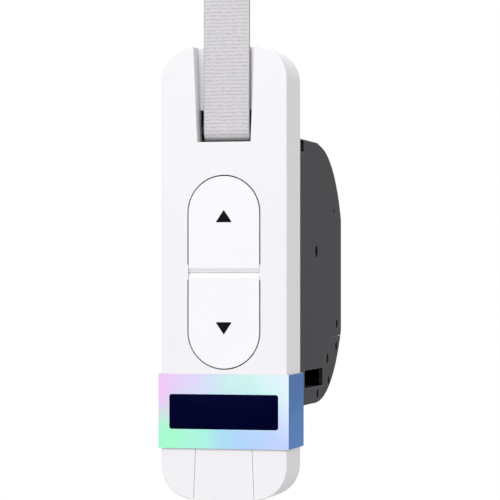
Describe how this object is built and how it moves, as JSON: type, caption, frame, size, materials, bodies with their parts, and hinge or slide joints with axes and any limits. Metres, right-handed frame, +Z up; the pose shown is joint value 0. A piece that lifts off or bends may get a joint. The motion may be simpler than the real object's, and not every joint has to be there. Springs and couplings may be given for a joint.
{
  "type": "motorised shutter strap winder",
  "caption": "Slim flush-mounted electric strap winder: white cover with rocker keys, grey webbing strap, geared reel in a dark wall housing.",
  "frame": {"origin": "middle of the cover's back plane, which lies on the wall, midway between the two wall screws", "axes": "+X right as seen from the room, +Y into the wall, +Z up, the way the strap leaves"},
  "size_m": [0.056, 0.1215, 0.223],
  "materials": {
    "cover_white": "white moulded ABS, satin gloss",
    "key_white": "white moulded ABS, satin gloss",
    "printed_card": "coated card printed in soft pastel colours",
    "board_green": "glass-fibre board with solder mask",
    "zinc_screw": "zinc-plated steel",
    "black_screw": "black-oxide steel",
    "shield_can": "tinned steel",
    "switch_black": "moulded black plastic",
    "webbing_grey": "woven polyester webbing",
    "acetal_black": "machined black acetal",
    "acetal_white": "moulded natural acetal",
    "steel_pin": "ground steel",
    "chassis_grey": "moulded glass-filled nylon",
    "housing_grey": "moulded dark grey plastic, fine texture",
    "bronze": "sintered bronze",
    "motor_steel": "drawn steel",
    "ferrite": "sintered ferrite magnet",
    "transformer_yellow": "laminated core with taped winding",
    "capacitor_blue": "sleeved aluminium can",
    "terminal_black": "moulded black nylon"
  },
  "bodies": {
    "root": {"front_cover": "cover_white", "control_board": "board_green", "board_screws": "zinc_screw", "radio_module": "shield_can", "switch_bodies": "switch_black", "strap_run": "webbing_grey", "guide_roller_pin": "steel_pin", "chassis_plate": "chassis_grey", "chassis_screws": "zinc_screw", "left_housing": "housing_grey", "right_housing": "housing_grey", "service_cover": "housing_grey", "housing_screws": "black_screw", "reel_axle": "steel_pin", "idler_axle": "steel_pin", "pinion_bush": "bronze", "motor_can": "motor_steel", "motor_gearbox": "motor_steel", "encoder_axle": "steel_pin", "encoder_board": "board_green", "supply_board": "board_green", "transformer": "transformer_yellow", "capacitors": "capacitor_blue", "terminal_block": "terminal_black", "terminal_screws": "zinc_screw", "cable_clamp": "terminal_black", "clamp_screw": "black_screw"},
    "sleeve": {"card_sleeve": "printed_card"},
    "insert": {"slot_insert": "cover_white"},
    "up_rocker": {"up_key": "key_white"},
    "down_rocker": {"down_key": "key_white"},
    "up_contact": {"up_plunger": "switch_black"},
    "down_contact": {"down_plunger": "switch_black"},
    "guide": {"guide_roller": "acetal_black"},
    "reel": {"strap_reel": "acetal_white", "reel_gear": "acetal_white", "wound_strap": "webbing_grey", "reel_bushes": "bronze"},
    "idler": {"idler_gear": "acetal_white"},
    "drive": {"motor_pinion": "bronze", "pinion_shaft": "steel_pin"},
    "encoder": {"encoder_gear": "acetal_white", "encoder_magnet": "ferrite"}
  },
  "joints": [
    {"name": "up_key_press", "type": "hinge", "parent": "root", "child": "up_rocker", "pos_m": [0, -0.0202, 0.00192], "axis": [-1, 0, 0], "range_deg": [0, 1.2], "stiffness_Nm_per_rad": 0.8, "springref_deg": -1.15},
    {"name": "down_key_press", "type": "hinge", "parent": "root", "child": "down_rocker", "pos_m": [0, -0.0202, -0.00158], "axis": [1, 0, 0], "range_deg": [0, 1.2], "stiffness_Nm_per_rad": 0.8, "springref_deg": -1.15},
    {"name": "up_plunger_travel", "type": "slide", "parent": "root", "child": "up_contact", "axis": [0, 1, 0], "range_m": [0, 0.0005]},
    {"name": "down_plunger_travel", "type": "slide", "parent": "root", "child": "down_contact", "axis": [0, 1, 0], "range_m": [0, 0.0005]},
    {"name": "reel_turn", "type": "hinge", "parent": "root", "child": "reel", "pos_m": [0, 0.0433, 0.0097], "axis": [1, 0, 0], "continuous": true},
    {"name": "idler_turn", "type": "hinge", "parent": "root", "child": "idler", "pos_m": [0, 0.07204, -0.02503], "axis": [1, 0, 0], "continuous": true},
    {"name": "motor_turn", "type": "hinge", "parent": "root", "child": "drive", "pos_m": [0, 0.066, -0.03819], "axis": [1, 0, 0], "continuous": true},
    {"name": "encoder_turn", "type": "hinge", "parent": "root", "child": "encoder", "pos_m": [0, 0.01432, 0.04423], "axis": [1, 0, 0], "continuous": true},
    {"name": "guide_turn", "type": "hinge", "parent": "root", "child": "guide", "pos_m": [0, -0.0127, 0.06], "axis": [1, 0, 0], "continuous": true},
    {"name": "insert_slide", "type": "slide", "parent": "root", "child": "insert", "axis": [0, 0, -1], "range_m": [0, 0.042]},
    {"name": "sleeve_slide", "type": "slide", "parent": "root", "child": "sleeve", "axis": [0, 0, -1], "range_m": [0, 0.056]}
  ],
  "couplings": [
    {"joint": "up_plunger_travel", "follows": "up_key_press", "m_per_rad": 0.02208},
    {"joint": "down_plunger_travel", "follows": "down_key_press", "m_per_rad": 0.02242},
    {"joint": "idler_turn", "follows": "reel_turn", "ratio": -5.4286},
    {"joint": "motor_turn", "follows": "reel_turn", "ratio": 16.286},
    {"joint": "encoder_turn", "follows": "reel_turn", "ratio": -5.4286},
    {"joint": "guide_turn", "follows": "reel_turn", "ratio": -4.7594}
  ]
}
